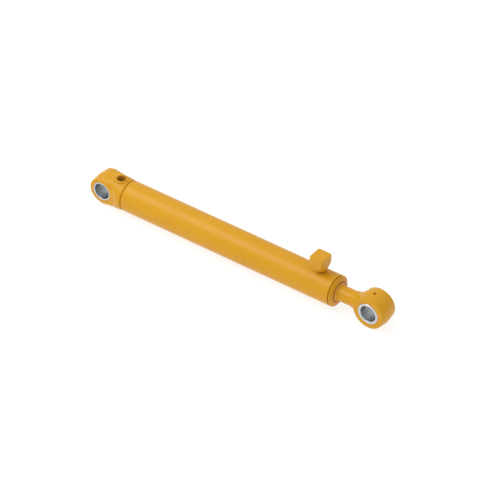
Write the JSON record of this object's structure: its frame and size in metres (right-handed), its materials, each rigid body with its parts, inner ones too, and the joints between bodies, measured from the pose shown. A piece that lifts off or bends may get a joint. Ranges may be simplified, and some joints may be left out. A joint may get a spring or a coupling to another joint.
{
  "type": "hydraulic cylinder",
  "caption": "Double-acting hydraulic cylinder with a welded barrel, sliding piston rod, two oil ports and a bushed pin eye at each end.",
  "frame": {"origin": "centre of the rear pin bore, midway between the two sides of the rear eye", "axes": "+X along the barrel towards the rod eye, +Y along both pins, +Z to the side of the oil ports"},
  "size_m": [0.6604, 0.06, 0.0978],
  "materials": {
    "yellow_paint": "satin enamel paint",
    "bushing_steel": "turned, bright",
    "rod_chrome": "hard chrome, ground and polished",
    "machined_steel": "turned",
    "wiper_rubber": "matte",
    "seal_rubber": "matte",
    "seal_urethane": "satin",
    "guide_plastic": "matte, fabric-filled"
  },
  "bodies": {
    "barrel": {"barrel_tube": "yellow_paint", "base_cap": "yellow_paint", "base_weld": "yellow_paint", "base_eye_bushing": "bushing_steel", "head_port_block": "yellow_paint", "head_port_weld": "yellow_paint", "gland": "yellow_paint", "gland_o_ring": "seal_rubber", "gland_backup_ring": "guide_plastic", "rod_seal": "seal_urethane", "buffer_seal": "seal_urethane", "rod_guide_ring_rear": "guide_plastic", "rod_guide_ring_front": "guide_plastic", "wiper_seal": "wiper_rubber"},
    "piston_rings": {"piston_wear_ring_rear": "guide_plastic", "piston_wear_ring_front": "guide_plastic", "piston_seal": "seal_urethane", "piston_seal_energiser": "seal_rubber"},
    "rod": {"rod": "rod_chrome", "piston": "machined_steel", "piston_o_ring": "seal_rubber", "piston_nut": "machined_steel", "rod_weld": "yellow_paint", "rod_eye": "yellow_paint", "rod_eye_bushing": "bushing_steel"}
  },
  "joints": [
    {"name": "rod_slide", "type": "slide", "parent": "barrel", "child": "piston_rings", "axis": [1, 0, 0], "range_m": [0, 0.35]},
    {"name": "rod_turn", "type": "hinge", "parent": "piston_rings", "child": "rod", "pos_m": [0.598, 0, 0], "axis": [1, 0, 0], "continuous": true}
  ]
}
